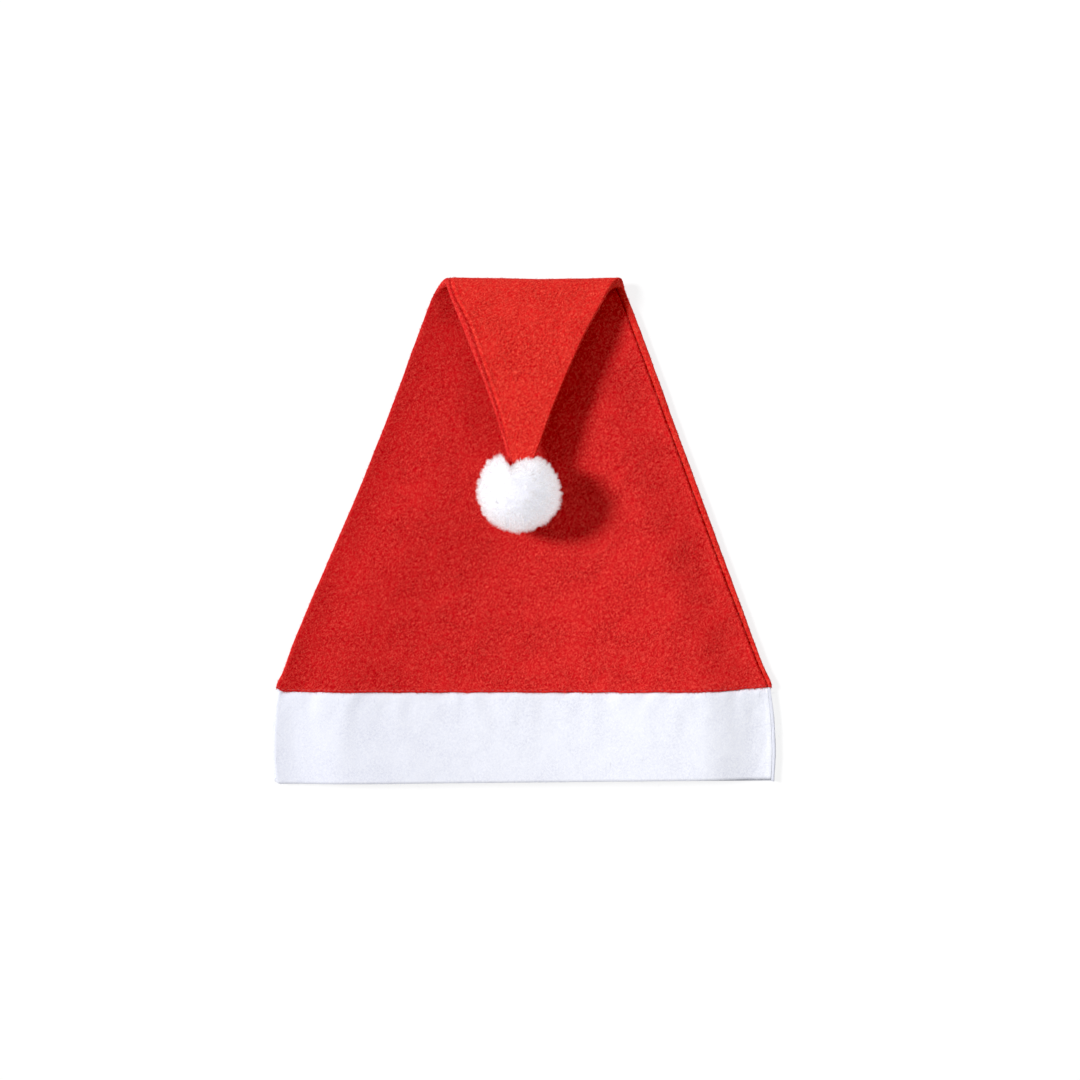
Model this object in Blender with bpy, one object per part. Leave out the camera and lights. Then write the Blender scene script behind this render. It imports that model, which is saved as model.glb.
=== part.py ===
"""A felt Santa hat lying flat, its tip folded forward over the front and ending in a plush ball.

Metres, +Z up. The hat lies on z = 0 with its mouth towards -Y and its fold towards +Y.
The origin is the middle of the hat's box, on the surface that it lies on.

The hat is a flattened tube. A section is a place along the back ply, measured as the distance
s from the hem. From there the back ply's outer face runs along the surface, turns up and over
in the fold, and comes back as the top of the flap. The front ply lies inside that path.
"""

import math
import random
from collections import namedtuple

import bmesh
import bpy
from mathutils import Vector, noise

# Felt and clearances
FELT = 0.0015
GAP = 0.0003
BAND_GAP = 0.0004
SOCKET_GAP = 0.0004

# The whole hat as it lies
HEM_Y = -0.1436
FOLD_Y = 0.1436
BAND_HEIGHT = 0.0518
HEM_RISE = 0.0029
BACK_HEM_DROP = 0.0013

# Side edges: two plies and the seam allowance between them, rounded
EDGE_HEIGHT = 0.0050
SHOULDER = 0.045
SEAM_INSET = 0.0042
SEAM_INSET_SHARE = 0.25
SEAM_DIP = 0.0006
SEAM_ROLL = 0.0014

# The fold, and the flap that the ball holds up
FOLD_RADIUS = 0.0105
FOLD_TURN = math.radians(166)
FLAP_LENGTH = 0.1020
FLAP_TURN = math.radians(10)

# The plush ball at the tip: its size with its locks, and the uneven clipping of the plush
BALL_SIZE = Vector((0.0490, 0.0460, 0.0460))
BALL_CENTRE_X = -0.0020
BALL_CENTRE_Y = 0.0210
HEAD_SUBDIVISIONS = 3
CLIP_SWELL = 0.07
CLIP_LUMPS = 1.6

# One lock of plush: drawn out of a face of the head, narrower at its tip and leaning a little
LOCK_LENGTH = 0.0042
LOCK_SHORTEST = 0.75
LOCK_TIP_SHARE = 0.74
LOCK_LEAN = 0.0007
LOCK_SEED = 24

# The socket that the tip takes in the ball, from outside the ball to the end of the tip
SOCKET_LENGTH = 0.040
SOCKET_STEPS = 6

# Where the path of the back ply changes
FOLD_START = FOLD_Y - FOLD_RADIUS - HEM_Y
FOLD_END = FOLD_START + FOLD_RADIUS * FOLD_TURN
TIP = FOLD_END + FLAP_LENGTH

# Runs of the back ply's path: length along it, and how far it turns up and over
Run = namedtuple("Run", "length turn")
RUNS = (
    Run(length=FOLD_START, turn=0.0),
    Run(length=FOLD_RADIUS * FOLD_TURN, turn=FOLD_TURN),
    Run(length=FLAP_LENGTH, turn=FLAP_TURN),
)

# Sections of the flattened tube: place along the back ply, the two side edges, and the outer
# height from the back ply to the front ply
Section = namedtuple("Section", "s left right height")
SECTIONS = (
    Section(0.0000, -0.1418, 0.1422, 0.0114),
    Section(0.0200, -0.1430, 0.1430, 0.0116),
    Section(BAND_HEIGHT, -0.1410, 0.1410, 0.0115),
    Section(0.0630, -0.1374, 0.1374, 0.0115),
    Section(0.0900, -0.1271, 0.1275, 0.0116),
    Section(0.1450, -0.1035, 0.1073, 0.0115),
    Section(0.2000, -0.0809, 0.0872, 0.0103),
    Section(0.2450, -0.0640, 0.0708, 0.0078),
    Section(FOLD_START, -0.0525, 0.0590, 0.0062),
    Section(FOLD_END, -0.0422, 0.0472, 0.0060),
    Section(FOLD_END + 0.0270, -0.0322, 0.0338, 0.0062),
    Section(FOLD_END + 0.0650, -0.0178, 0.0175, 0.0060),
    Section(FOLD_END + 0.0850, -0.0117, 0.0103, 0.0056),
    Section(TIP, -0.0072, 0.0040, 0.0052),
)
BAND_WIDTH = SECTIONS[1].right - SECTIONS[1].left

# Rows of faces along each stretch, and columns across each part of a section
BAND_ROWS = 4
BODY_ROWS = 12
FOLD_ROWS = 14
FLAP_ROWS = 10
ARC_STEPS = 6
SHOULDER_STEPS = 4
MIDDLE_STEPS = 5

Look = namedtuple("Look", "colour roughness metallic")
RED_FELT = Look(colour=(0.62, 0.012, 0.014), roughness=0.95, metallic=0.0)
WHITE_FELT = Look(colour=(0.86, 0.87, 0.92), roughness=0.95, metallic=0.0)
WHITE_PLUSH = Look(colour=(0.88, 0.88, 0.91), roughness=1.0, metallic=0.0)


def clear_scene():
    for old in list(bpy.data.objects):
        bpy.data.objects.remove(old)


def make_material(name, look):
    made = bpy.data.materials.new(name)
    made.use_nodes = True
    shader = made.node_tree.nodes["Principled BSDF"]
    shader.inputs["Base Color"].default_value = (*look.colour, 1.0)
    shader.inputs["Roughness"].default_value = look.roughness
    shader.inputs["Metallic"].default_value = look.metallic
    return made


def make_object(name, shape, material=None):
    """An object from a finished bmesh, which is freed."""
    mesh = bpy.data.meshes.new(name)
    shape.to_mesh(mesh)
    shape.free()
    made = bpy.data.objects.new(name, mesh)
    bpy.context.scene.collection.objects.link(made)
    if material:
        mesh.materials.append(material)
    return made


def smooth_step(t):
    t = min(1.0, max(0.0, t))
    return t * t * (3 - 2 * t)


def spread(low, high, steps):
    return [low + (high - low) * k / steps for k in range(steps + 1)]


def slope_at(i, column):
    """Slope of one column of the sections at row i, from the rows on either side."""
    before = SECTIONS[max(0, i - 1)]
    after = SECTIONS[min(len(SECTIONS) - 1, i + 1)]
    return (getattr(after, column) - getattr(before, column)) / (after.s - before.s)


def section_at(s):
    """The section at s, on a smooth curve through the table's rows."""
    i = 0
    while i < len(SECTIONS) - 2 and s > SECTIONS[i + 1].s:
        i += 1
    low, high = SECTIONS[i], SECTIONS[i + 1]
    span = high.s - low.s
    t = (s - low.s) / span
    values = []
    for column in ("left", "right", "height"):
        values.append(
            (1 + 2 * t) * (1 - t) ** 2 * getattr(low, column)
            + t * (1 - t) ** 2 * span * slope_at(i, column)
            + t * t * (3 - 2 * t) * getattr(high, column)
            + t * t * (t - 1) * span * slope_at(i + 1, column)
        )
    return Section(s, *values)


def path_at(s):
    """The back ply's outer face at s: y, z and the angle of its direction above +Y."""
    y, z, angle = HEM_Y, 0.0, 0.0
    for run in RUNS:
        along = min(s, run.length)
        if run.turn == 0.0:
            y += along * math.cos(angle)
            z += along * math.sin(angle)
        else:
            radius = run.length / run.turn
            y += radius * (math.sin(angle + along / radius) - math.sin(angle))
            z += radius * (math.cos(angle) - math.cos(angle + along / radius))
            angle += along / radius
        s -= along
        if s <= 0.0:
            return y, z, angle
    return y + s * math.cos(angle), z + s * math.sin(angle), angle


def place(s, x, depth):
    """A point of section s: x across, and depth from the back ply towards the front ply."""
    y, z, angle = path_at(s)
    return Vector((x, y - depth * math.sin(angle), z + depth * math.cos(angle)))


def edge_height(section):
    return min(EDGE_HEIGHT, section.height)


def seam_inset(section):
    """How far the side seams lie from the side edges, less where the flap gets narrow."""
    return min(SEAM_INSET, SEAM_INSET_SHARE * (section.right - section.left))


def shoulder_width(section):
    """How far in from its round edges the front ply reaches its full height."""
    return min(SHOULDER, (section.right - section.left - edge_height(section)) / 3)


def front_depth(section, x):
    """Depth of the front ply at x: low at the side edges, full height past the shoulders."""
    edge = edge_height(section)
    inward = min(x - section.left, section.right - x) - edge / 2
    return edge + (section.height - edge) * smooth_step(inward / shoulder_width(section))


def round_edge(x_edge, side, edge):
    """Points round a side edge, from the back ply to the front ply. side is -1 or 1."""
    radius = edge / 2
    points = []
    for turn in spread(0.0, math.pi, ARC_STEPS):
        x = x_edge - side * radius + side * radius * math.sin(turn)
        points.append((x, radius - radius * math.cos(turn)))
    return points


def front_profile(section):
    """Across the front panel: from the left seam on the back ply to the right seam on the front."""
    edge, shoulder, inset = edge_height(section), shoulder_width(section), seam_inset(section)
    low = section.left + edge / 2 + shoulder
    high = section.right - edge / 2 - shoulder
    end = section.right - inset - GAP / 2
    roll = end - min(SEAM_ROLL, inset / 3)
    places = spread(low - shoulder, low, SHOULDER_STEPS)[1:-1]
    places += spread(low, high, MIDDLE_STEPS)
    places += spread(high, roll, SHOULDER_STEPS)[1:]
    points = [(section.left + inset - GAP / 2, SEAM_DIP)] + round_edge(section.left, -1, edge)
    points += [(x, front_depth(section, x)) for x in places]
    return points + [(end, front_depth(section, end) - SEAM_DIP)]


def back_profile(section):
    """Across the back panel: from the right seam on the front ply to the left seam on the back."""
    edge, inset = edge_height(section), seam_inset(section)
    start = section.right - inset + GAP / 2
    end = section.left + inset + GAP / 2
    roll = end + min(SEAM_ROLL, inset / 3)
    points = [(start, front_depth(section, start) - SEAM_DIP)]
    points += reversed(round_edge(section.right, 1, edge))
    flat = spread(section.right - edge / 2, roll, SHOULDER_STEPS + MIDDLE_STEPS)[1:]
    return points + [(x, 0.0) for x in flat] + [(end, SEAM_DIP)]


def panel(name, profile, stations, material, rise=0.0):
    """One cut piece of felt: a grid laid on the tube's outer face, then given its thickness.

    rise is how much higher the piece's first row lies at its right side than at its left.
    """
    columns = len(profile(section_at(stations[0])))
    rows = len(stations)
    shape = bmesh.new()
    bmesh.ops.create_grid(shape, x_segments=columns - 1, y_segments=rows - 1, size=0.5)
    ordered = sorted(shape.verts, key=lambda v: (round(v.co.y, 5), round(v.co.x, 5)))
    for index, vert in enumerate(ordered):
        row, column = divmod(index, columns)
        x, depth = profile(section_at(stations[row]))[column]
        lift = rise * (x + BAND_WIDTH / 2) / BAND_WIDTH * (1 - row / (rows - 1))
        vert.co = place(stations[row] + lift, x, depth)
    made = make_object(name, shape, material)
    made.data.shade_smooth()
    wall = made.modifiers.new("felt", "SOLIDIFY")
    wall.thickness = FELT
    wall.offset = -1.0
    wall.use_even_offset = True
    return made


def crown_stations():
    """Sections of the crown, from its seam with the band to the tip."""
    body = spread(BAND_HEIGHT + BAND_GAP, FOLD_START, BODY_ROWS)
    fold = spread(FOLD_START, FOLD_END, FOLD_ROWS)
    flap = spread(FOLD_END, TIP, FLAP_ROWS)
    return body + fold[1:] + flap[1:]


def socket_cutter():
    """The space that the tip takes inside the ball, a little larger than the tip."""
    shape = bmesh.new()
    for s in spread(TIP - SOCKET_LENGTH, TIP + SOCKET_GAP, SOCKET_STEPS):
        tip = section_at(min(s, TIP))
        edge = tip.height + 2 * SOCKET_GAP
        outline = round_edge(tip.left - SOCKET_GAP, -1, edge)
        outline += reversed(round_edge(tip.right + SOCKET_GAP, 1, edge))
        ring = [shape.verts.new(place(s, x, depth - SOCKET_GAP)) for x, depth in outline]
        for first, second in zip(ring, ring[1:] + ring[:1]):
            shape.edges.new((first, second))
    bmesh.ops.bridge_loops(shape, edges=shape.edges)
    bmesh.ops.holes_fill(shape, edges=shape.edges)
    bmesh.ops.recalc_face_normals(shape, faces=shape.faces)
    cutter = make_object("tip_socket", shape)
    cutter.hide_render = True
    cutter.display_type = "WIRE"
    return cutter


def ball(material, cutter):
    """The plush ball: a head with one tapered lock drawn out of each of its faces."""
    draw = random.Random(LOCK_SEED)
    shape = bmesh.new()
    bmesh.ops.create_icosphere(shape, subdivisions=HEAD_SUBDIVISIONS, radius=1.0)
    for vert in shape.verts:
        swell = 1 + CLIP_SWELL * noise.noise(vert.co * CLIP_LUMPS)
        vert.co = vert.co * (BALL_SIZE / 2 - Vector.Fill(3, LOCK_LENGTH)) * swell
    drawn = bmesh.ops.extrude_discrete_faces(shape, faces=list(shape.faces))
    for face in drawn["faces"]:
        centre = face.calc_center_median()
        lean = Vector([draw.uniform(-LOCK_LEAN, LOCK_LEAN) for _ in range(3)])
        growth = centre.normalized() * LOCK_LENGTH * draw.uniform(LOCK_SHORTEST, 1.0) + lean
        for vert in face.verts:
            vert.co = centre + (vert.co - centre) * LOCK_TIP_SHARE + growth
    bmesh.ops.recalc_face_normals(shape, faces=shape.faces)
    lowest = min(vert.co.z for vert in shape.verts)
    made = make_object("pompom", shape, material)
    front_ply = section_at(BALL_CENTRE_Y - HEM_Y).height
    made.location = (BALL_CENTRE_X, BALL_CENTRE_Y, front_ply + GAP - lowest)
    socket = made.modifiers.new("socket", "BOOLEAN")
    socket.operation = "DIFFERENCE"
    socket.solver = "EXACT"
    socket.object = cutter
    return made


def main():
    clear_scene()
    red = make_material("red_felt", RED_FELT)
    white = make_material("white_felt", WHITE_FELT)
    plush = make_material("white_plush", WHITE_PLUSH)
    crown = crown_stations()
    band = spread(0.0, BAND_HEIGHT, BAND_ROWS)
    panel("crown_front_panel", front_profile, crown, red)
    panel("crown_back_panel", back_profile, crown, red)
    panel("band_front", front_profile, band, white, rise=HEM_RISE)
    panel("band_back", back_profile, band, white, rise=HEM_RISE - BACK_HEM_DROP)
    ball(plush, socket_cutter())


main()
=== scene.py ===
# %% [markdown]
# # A felt Santa hat, folded flat
# The hat is two red felt panels sewn into a flat cone, a white felt band round its mouth, and a
# plush ball at its tip. It lies on its back, with the tip folded forward over the front.
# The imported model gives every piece's place. This script only dresses it: each felt panel is
# laid again as a fine sheet, then come the stitches, the loose fibres and the plush.

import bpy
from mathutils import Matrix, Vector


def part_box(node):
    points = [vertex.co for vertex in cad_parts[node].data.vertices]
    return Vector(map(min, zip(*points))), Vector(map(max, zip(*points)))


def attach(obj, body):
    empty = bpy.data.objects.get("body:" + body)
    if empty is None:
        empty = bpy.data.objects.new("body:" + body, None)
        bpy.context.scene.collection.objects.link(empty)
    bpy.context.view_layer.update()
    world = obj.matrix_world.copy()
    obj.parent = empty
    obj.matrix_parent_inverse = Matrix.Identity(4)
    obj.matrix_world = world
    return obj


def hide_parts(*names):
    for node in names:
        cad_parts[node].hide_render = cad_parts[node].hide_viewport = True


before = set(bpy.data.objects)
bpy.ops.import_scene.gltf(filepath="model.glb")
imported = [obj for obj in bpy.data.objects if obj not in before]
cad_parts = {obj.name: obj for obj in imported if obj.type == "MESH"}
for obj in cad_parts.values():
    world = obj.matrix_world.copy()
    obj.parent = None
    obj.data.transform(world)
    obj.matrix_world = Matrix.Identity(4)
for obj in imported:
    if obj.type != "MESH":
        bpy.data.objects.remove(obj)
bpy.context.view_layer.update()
print("CAD nodes:", sorted(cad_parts))

# %% Modules
import math
from collections import namedtuple

import bmesh
import bpy
import numpy as np
from mathutils import Vector, noise

# %% [markdown]
# ## Colours and nodes
# Paint charts and photographs give colours as sRGB hex, but Blender's shaders work in linear
# light. One function does that change for every colour here. A second one adds a shader node
# with its settings and links in a single call, so that a material reads as a list of steps, and
# a third sets the plain values of a node that is already there.

# %% Colour and node helpers
MM = 0.001
DEG = math.pi / 180
WHITE = (1.0, 1.0, 1.0, 1.0)


def linear(hex_colour):
    """An sRGB hex colour as the linear RGBA that a shader socket takes."""
    channels = [int(hex_colour[k:k + 2], 16) / 255 for k in (1, 3, 5)]
    return (*[c / 12.92 if c <= 0.04045 else ((c + 0.055) / 1.055) ** 2.4 for c in channels], 1.0)


def add(tree, kind, sockets=None, **settings):
    """Adds one shader node. A socket takes a number, a colour or another node's output."""
    made = tree.nodes.new("ShaderNode" + kind)
    for name, value in settings.items():
        setattr(made, name, value)
    for name, value in (sockets or {}).items():
        if isinstance(value, bpy.types.NodeSocket):
            tree.links.new(value, made.inputs[name])
        else:
            made.inputs[name].default_value = value
    return made


def set_sockets(node, sockets):
    for name, value in sockets.items():
        node.inputs[name].default_value = value


print("Red felt in linear light:", [round(c, 3) for c in linear("#C92827")])

# %% [markdown]
# ## Pressed polyester felt
# Craft felt is a mat of short polyester fibres, needled and pressed flat. It is matt, a little
# cloudy where the mat is thicker, and covered in fine curved fibres that catch the light. It
# has no weave, so the pattern is built from noise: four layers, each stretched in its own
# direction and bent, make the fibres, and two rounder ones make clouds and mottles. A real
# fibre is 0.02 mm thick and would not show, so the fibres are drawn 0.4 mm wide. The pattern
# follows the cloth through a UV map in metres. Felt has a slight nap, like velvet, but the shade
# across the panels is painted into their colour. The front panel and the band are painted
# darker near their first seam, which on the front ones is their left side, fading out across
# them. The back panel is painted lighter all over, for the extra light that the flap catches.

# %% Felt material
MIX_FACTOR, MIX_A, MIX_B = 0, 6, 7  # a Mix node's sockets when it mixes colours

FIBRE_LENGTH = 2.6 * MM
FIBRE_WIDTH = 0.42 * MM
FIBRE_ANGLES = (35, 62, 118, 150)
FIBRE_BEND = 1.2 * MM
CLOUD_SIZE = 22 * MM
MOTTLE_SIZE = 1.3 * MM
FIBRE_RELIEF = 0.15 * MM
MOTTLE_RELIEF = 0.08 * MM

# Where each noise starts to show as a pattern, and where it is full
STREAK_RANGE = (0.58, 0.8)
CLOUD_RANGE = (0.28, 0.66)
MOTTLE_RANGE = (0.38, 0.68)
FIBRE_RANGE = (0.0, 1.1)

# Painted shade near a panel's first seam: how far from the seam it starts, past an unshaded strip,
# how far it reaches before it has faded away, and how deep it is; and below, how soft the strip's
# edge is
PaintedShade = namedtuple("PaintedShade", "start end shade")
PAINTED_SHADE_EDGE = 4 * MM

# A felt's hues. The shade hue is the colour that its painted shade mixes in.
FeltHues = namedtuple("FeltHues", "shade deep body bright fibre")
RED_HUES = FeltHues("#780008", "#9C0712", "#CA181F", "#D6282A", "#F8584C")
# Lighter than the front's hues: painted light, for the extra light that the flap catches.
PAINTED_LIGHTER_RED_HUES = FeltHues("#780008", "#A60813", "#CE1B20", "#E12E2A", "#FC5E4C")
WHITE_HUES = FeltHues("#A6A9BC", "#D8DAE7", "#E7E9F3", "#EBEDF6", "#F3F4FA")


def new_material(name):
    made = bpy.data.materials.new(name)
    made.use_nodes = True
    return made, made.node_tree, made.node_tree.nodes["Principled BSDF"]


def noise_of(tree, vector, size, **sockets):
    """Flat noise whose lumps are about size metres across."""
    settings = {"Vector": vector, "Scale": 1 / size, **sockets}
    return add(tree, "TexNoise", settings, noise_dimensions="2D")


def ramp(tree, value, low, high, least=0.0):
    """A value stretched so that low gives the least and high gives 1."""
    sockets = {"Value": value, "From Min": low, "From Max": high, "To Min": least}
    return add(tree, "MapRange", sockets).outputs["Result"]


def fibre_mat(tree, cloth):
    """A mat of short bent fibres that lie in all directions: 1 along a fibre, 0 between them."""
    drift = noise_of(tree, cloth, 2 * FIBRE_LENGTH, Detail=1.0).outputs["Color"]
    shift = add(tree, "VectorMath", {0: drift, 1: (0.5, 0.5, 0.5)}, operation="SUBTRACT")
    bend = add(tree, "VectorMath", {0: shift.outputs[0], "Scale": FIBRE_BEND}, operation="SCALE")
    bent = add(tree, "VectorMath", {0: cloth, 1: bend.outputs[0]}, operation="ADD").outputs[0]
    mat = None
    for angle in FIBRE_ANGLES:
        place = {"Vector": bent, "Rotation": (0, 0, angle * DEG),
                 "Location": (math.sin(angle), math.cos(angle), 0),
                 "Scale": (FIBRE_LENGTH, FIBRE_WIDTH, 1)}
        turned = add(tree, "Mapping", place, vector_type="TEXTURE").outputs["Vector"]
        streak = noise_of(tree, turned, 1.0, Detail=1.0).outputs["Fac"]
        layer = ramp(tree, streak, *STREAK_RANGE)
        mat = layer if mat is None else add(
            tree, "Math", {0: mat, 1: layer}, operation="MAXIMUM").outputs[0]
    return mat


def mix(tree, factor, first, second):
    sockets = {MIX_FACTOR: factor, MIX_A: first, MIX_B: second}
    return add(tree, "Mix", sockets, data_type="RGBA").outputs[2]


def pressed_felt(name, hues, relief, painted_shade):
    """Needled and pressed polyester felt: matt and cloudy, with fine bent fibres on top, and
    painted shade that darkens it near its first seam.
    """
    made, tree, shader = new_material(name)
    cloth = add(tree, "UVMap", uv_map="cloth").outputs["UV"]
    clouds = noise_of(tree, cloth, CLOUD_SIZE, Detail=5.0, Roughness=0.70, Distortion=0.5)
    mottles = noise_of(tree, cloth, MOTTLE_SIZE, Detail=4.0, Roughness=0.72).outputs["Fac"]
    fibres = fibre_mat(tree, cloth)
    cloudy = mix(tree, ramp(tree, clouds.outputs["Fac"], *CLOUD_RANGE),
                 linear(hues.deep), linear(hues.body))
    mottled = mix(tree, ramp(tree, mottles, *MOTTLE_RANGE), cloudy, linear(hues.bright))
    fibrous = mix(tree, ramp(tree, fibres, *FIBRE_RANGE), mottled, linear(hues.fibre))
    across = add(tree, "SeparateXYZ", {"Vector": cloth}).outputs["X"]
    # Painted shade: the colour is mixed towards the shade hue near the first seam and fades out
    # further across, but on the red a narrow strip at the seam itself stays unshaded.
    in_painted_shade = ramp(tree, across, 0.0, painted_shade.end, least=1 - painted_shade.shade)
    unshaded_at_seam = ramp(tree, across, painted_shade.start, painted_shade.start - PAINTED_SHADE_EDGE)
    lit = add(tree, "Math", {0: in_painted_shade, 1: unshaded_at_seam}, operation="MAXIMUM").outputs[0]
    shaded = mix(tree, lit, linear(hues.shade), fibrous)
    tree.links.new(shaded, shader.inputs["Base Color"])
    low = {"Height": mottles, "Distance": MOTTLE_RELIEF, "Strength": relief}
    high = {"Height": fibres, "Distance": FIBRE_RELIEF, "Strength": relief,
            "Normal": add(tree, "Bump", low).outputs["Normal"]}
    tree.links.new(add(tree, "Bump", high).outputs["Normal"], shader.inputs["Normal"])
    set_sockets(shader, {"Roughness": 0.92, "Specular IOR Level": 0.02, "Sheen Weight": 0.12,
                         "Sheen Roughness": 0.55, "Sheen Tint": linear(hues.bright)})
    return made


# The red front panel and the white band are painted darker near their first seam; the back panel's
# painted shade is next to none.
red_felt = pressed_felt("pressed_red_felt", RED_HUES, relief=0.95,
                        painted_shade=PaintedShade(start=9 * MM, end=160 * MM, shade=0.31))
# The back panel, whose top is the flap, is painted lighter all over.
painted_lighter_red_felt = pressed_felt("pressed_red_felt_painted_lighter", PAINTED_LIGHTER_RED_HUES, relief=1.15,
                              painted_shade=PaintedShade(start=0.0, end=1 * MM, shade=0.05))
white_felt = pressed_felt("pressed_white_felt", WHITE_HUES, relief=0.3,
                          painted_shade=PaintedShade(start=0.0, end=200 * MM, shade=0.24))
print("Felt nodes:", len(red_felt.node_tree.nodes))

# %% [markdown]
# ## Fibre, thread and plush
# Loose felt fibres, the polyester sewing thread and the ball's clipped plush are all fine
# white or dyed filaments. Each is far thinner than a pixel, so one needs no pattern of its own:
# what the eye sees is how its colour drifts along the object. A slow noise in Object
# coordinates gives that drift, and the roughness of the filaments keeps them matt. Light that
# enters white plush is passed on from hair to hair dozens of times before it comes out. A
# render stops after a few, so subsurface scattering spreads it and a faint glow makes up the rest.

# %% Filament materials
IOR_POLYESTER = 1.57
BACKING_GLOW = 0.40
PILE_GLOW = 0.26


def filament(name, first, second, drift, roughness, scatter=0.0, glow=0.0):
    """A dyed polyester filament whose colour drifts between two hues along the object."""
    made, tree, shader = new_material(name)
    place = add(tree, "TexCoord").outputs["Object"]
    slow = add(tree, "TexNoise", {"Vector": place, "Scale": 1 / drift, "Detail": 2.0})
    hue = mix(tree, ramp(tree, slow.outputs["Fac"], 0.35, 0.65), linear(first), linear(second))
    tree.links.new(hue, shader.inputs["Base Color"])
    set_sockets(shader, {"IOR": IOR_POLYESTER, "Roughness": roughness, "Specular IOR Level": 0.25,
                         "Subsurface Weight": min(1.0, scatter / MM),
                         "Subsurface Radius": (1.0, 1.0, 1.0), "Subsurface Scale": scatter,
                         "Emission Color": WHITE, "Emission Strength": glow})
    return made


red_fibre = filament("loose_red_fibre", "#C42525", "#EA5A4E", 3 * MM, 0.8)
white_fibre = filament("loose_white_fibre", "#E4E6F0", "#F6F6FB", 3 * MM, 0.8)
seam_thread = filament("dark_red_sewing_thread", "#54040C", "#7A0A12", 2 * MM, 0.6)
lap_thread = filament("dull_pink_sewing_thread", "#A8383C", "#C06A6C", 6 * MM, 0.6)
plush_backing = filament("plush_backing", "#C2C3CE", "#CACBD6", 5 * MM, 0.95,
                         scatter=20 * MM, glow=BACKING_GLOW)
# The pile's hues are darker and pinker than white plush: painted shade between its hairs and
# painted red light bounced from the felt.
plush_pile = filament("clipped_plush_painted_shade", "#A79BA0", "#C4C0C8", 1.6 * MM, 0.85,
                      scatter=4 * MM, glow=PILE_GLOW)
print("Materials:", len(bpy.data.materials))

# %% [markdown]
# ## The shape of the folded hat
# Flat, the hat is a flattened tube. A section is named by s, the distance from the hem along
# the back ply. The back ply runs flat along the table, turns up and over in the fold, and comes
# back as the top of the flap. The table below gives each section's two side edges and its
# height, in metres, as the CAD has them, and a smooth curve runs through its rows.

# %% Sizes of the hat
HEM_Y = -0.1436
FOLD_Y = 0.1436
BAND_HEIGHT = 0.0518
HEM_RISE = 0.0029
BACK_HEM_DROP = 0.0013
EDGE_HEIGHT = 0.0050
SHOULDER = 0.045
FOLD_RADIUS = 0.0105
FOLD_TURN = 166 * DEG
FLAP_LENGTH = 0.1020
FLAP_TURN = 10 * DEG
FELT = 0.0015

# How far the side edges bulge, as a share of half their height. The left one gets flatter on
# its way into the fold
LEFT_ROUND_BODY = 0.9
LEFT_ROUND_FLAP = 0.5
RIGHT_ROUND = 0.22
FLATTER_FROM = 0.25
FLATTER_OVER = 0.05

# The gap between the panels at the loose left seam and at the tight right one, which opens
# over a short way above the band
LOOSE_GAP = 0.04 * MM
TIGHT_GAP = 0.20 * MM
GAP_OPENS_OVER = 30 * MM

FOLD_START = FOLD_Y - FOLD_RADIUS - HEM_Y
FOLD_END = FOLD_START + FOLD_RADIUS * FOLD_TURN
TIP = FOLD_END + FLAP_LENGTH

Run = namedtuple("Run", "length turn")
RUNS = (
    Run(length=FOLD_START, turn=0.0),
    Run(length=FOLD_RADIUS * FOLD_TURN, turn=FOLD_TURN),
    Run(length=FLAP_LENGTH, turn=FLAP_TURN),
)

Section = namedtuple("Section", "s left right height")
SECTIONS = (
    Section(0.0000, -0.1418, 0.1422, 0.0114),
    Section(0.0200, -0.1430, 0.1430, 0.0116),
    Section(BAND_HEIGHT, -0.1410, 0.1410, 0.0115),
    Section(0.0630, -0.1374, 0.1374, 0.0115),
    Section(0.0900, -0.1271, 0.1275, 0.0116),
    Section(0.1450, -0.1035, 0.1073, 0.0115),
    Section(0.2000, -0.0809, 0.0872, 0.0103),
    Section(0.2450, -0.0640, 0.0708, 0.0078),
    Section(FOLD_START, -0.0525, 0.0590, 0.0062),
    Section(FOLD_END, -0.0422, 0.0472, 0.0060),
    Section(FOLD_END + 0.0270, -0.0322, 0.0338, 0.0062),
    Section(FOLD_END + 0.0650, -0.0178, 0.0175, 0.0060),
    Section(FOLD_END + 0.0850, -0.0117, 0.0103, 0.0056),
    Section(TIP, -0.0072, 0.0040, 0.0052),
)
print("Back ply from hem to tip in mm:", round(TIP / MM, 1))

# %% Section and path at any distance from the hem


def section_at(s):
    """The section at s, on a cubic curve through the table's rows."""
    stops = np.array([row.s for row in SECTIONS])
    i = int(np.clip(np.searchsorted(stops, s) - 1, 0, len(stops) - 2))
    span = stops[i + 1] - stops[i]
    t = (s - stops[i]) / span
    values = []
    for column in ("left", "right", "height"):
        rows = np.array([getattr(row, column) for row in SECTIONS])
        before, after = max(0, i - 1), min(len(stops) - 1, i + 2)
        start = (rows[i + 1] - rows[before]) / (stops[i + 1] - stops[before])
        end = (rows[after] - rows[i]) / (stops[after] - stops[i])
        values.append((1 + 2 * t) * (1 - t) ** 2 * rows[i] + t * (1 - t) ** 2 * span * start
                      + t * t * (3 - 2 * t) * rows[i + 1] + t * t * (t - 1) * span * end)
    return Section(s, *values)


def path_at(s):
    """Where the back ply's outer face is at s: y, z and the angle of its way above +Y."""
    y, z, angle = HEM_Y, 0.0, 0.0
    for run in RUNS:
        along = min(s, run.length)
        if run.turn == 0.0:
            y, z = y + along * math.cos(angle), z + along * math.sin(angle)
        else:
            radius = run.length / run.turn
            y += radius * (math.sin(angle + along / radius) - math.sin(angle))
            z += radius * (math.cos(angle) - math.cos(angle + along / radius))
            angle += along / radius
        s -= along
        if s <= 0.0:
            break
    return y, z, angle


print("The tip lies at y, z in mm:", [round(value / MM, 1) for value in path_at(TIP)[:2]])

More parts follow.
